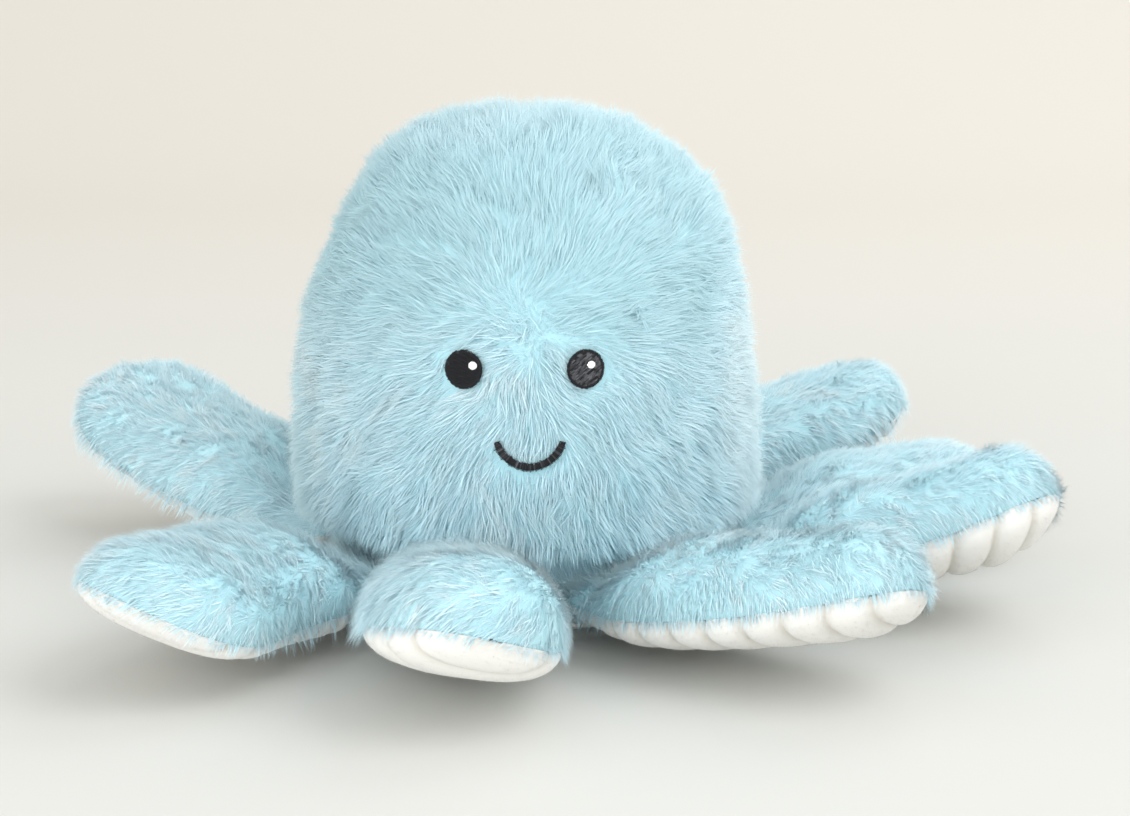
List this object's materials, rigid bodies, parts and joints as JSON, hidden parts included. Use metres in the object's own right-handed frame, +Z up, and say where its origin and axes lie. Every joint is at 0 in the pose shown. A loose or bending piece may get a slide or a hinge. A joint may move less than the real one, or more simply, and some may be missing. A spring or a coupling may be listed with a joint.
{
  "type": "plush octopus",
  "caption": "Stuffed toy octopus with a tall furry domed head, an embroidered face and arms with ribbed soles that lift at their seams.",
  "frame": {"origin": "middle of the base panel's underside, on the surface that it sits on", "axes": "+Z up through the crown, the face looks along -Y, +X to the viewer's right"},
  "size_m": [0.3196, 0.3476, 0.1565],
  "materials": {
    "fur": "matte",
    "sole": "matte",
    "thread": "satin",
    "white_thread": "satin",
    "fibre": "matte",
    "pouch": "matte"
  },
  "bodies": {
    "body": {"head_front_panel": "fur", "head_back_panel": "fur", "head_left_panel": "fur", "head_right_panel": "fur", "head_filling": "fibre", "weighted_pouch": "pouch", "base_panel": "sole", "left_eye": "thread", "left_eye_highlight": "white_thread", "right_eye": "thread", "right_eye_highlight": "white_thread", "mouth": "thread"},
    "front_arm": {"front_arm_fur": "fur", "front_arm_sole": "sole", "front_arm_filling": "fibre"},
    "front_right_arm": {"front_right_arm_fur": "fur", "front_right_arm_sole": "sole", "front_right_arm_filling": "fibre"},
    "right_arm": {"right_arm_fur": "fur", "right_arm_sole": "sole", "right_arm_filling": "fibre"},
    "right_rear_arm": {"right_rear_arm_fur": "fur", "right_rear_arm_sole": "sole", "right_rear_arm_filling": "fibre"},
    "rear_right_arm": {"rear_right_arm_fur": "fur", "rear_right_arm_sole": "sole", "rear_right_arm_filling": "fibre"},
    "rear_arm": {"rear_arm_fur": "fur", "rear_arm_sole": "sole", "rear_arm_filling": "fibre"},
    "left_rear_arm": {"left_rear_arm_fur": "fur", "left_rear_arm_sole": "sole", "left_rear_arm_filling": "fibre"},
    "front_left_arm": {"front_left_arm_fur": "fur", "front_left_arm_sole": "sole", "front_left_arm_filling": "fibre"}
  },
  "joints": [
    {"name": "front_arm_lift", "type": "hinge", "parent": "body", "child": "front_arm", "pos_m": [-0.01524, -0.0717, 0.0125], "axis": [-0.9781, 0.2079, 0], "range_deg": [-25, 30], "stiffness_Nm_per_rad": 0.35},
    {"name": "front_right_arm_lift", "type": "hinge", "parent": "body", "child": "front_right_arm", "pos_m": [0.03328, -0.06531, 0.0125], "axis": [-0.891, -0.454, 0], "range_deg": [-25, 30], "stiffness_Nm_per_rad": 0.35},
    {"name": "right_arm_lift", "type": "hinge", "parent": "body", "child": "right_arm", "pos_m": [0.06696, -0.02981, 0.0125], "axis": [-0.4067, -0.9135, 0], "range_deg": [-25, 30], "stiffness_Nm_per_rad": 0.35},
    {"name": "right_rear_arm_lift", "type": "hinge", "parent": "body", "child": "right_rear_arm", "pos_m": [0.07195, 0.01399, 0.0125], "axis": [0.1908, -0.9816, 0], "range_deg": [-25, 30], "stiffness_Nm_per_rad": 0.35},
    {"name": "rear_right_arm_lift", "type": "hinge", "parent": "body", "child": "rear_right_arm", "pos_m": [0.04411, 0.05854, 0.0125], "axis": [0.7986, -0.6018, 0], "range_deg": [-25, 30], "stiffness_Nm_per_rad": 0.35},
    {"name": "rear_arm_lift", "type": "hinge", "parent": "body", "child": "rear_arm", "pos_m": [-0.01273, 0.07219, 0.0125], "axis": [0.9848, 0.1736, 0], "range_deg": [-25, 30], "stiffness_Nm_per_rad": 0.35},
    {"name": "left_rear_arm_lift", "type": "hinge", "parent": "body", "child": "left_rear_arm", "pos_m": [-0.06472, 0.03441, 0.0125], "axis": [0.4695, 0.8829, 0], "range_deg": [-25, 30], "stiffness_Nm_per_rad": 0.35},
    {"name": "front_left_arm_lift", "type": "hinge", "parent": "body", "child": "front_left_arm", "pos_m": [-0.05656, -0.04662, 0.0125], "axis": [-0.6361, 0.7716, 0], "range_deg": [-25, 30], "stiffness_Nm_per_rad": 0.35}
  ]
}
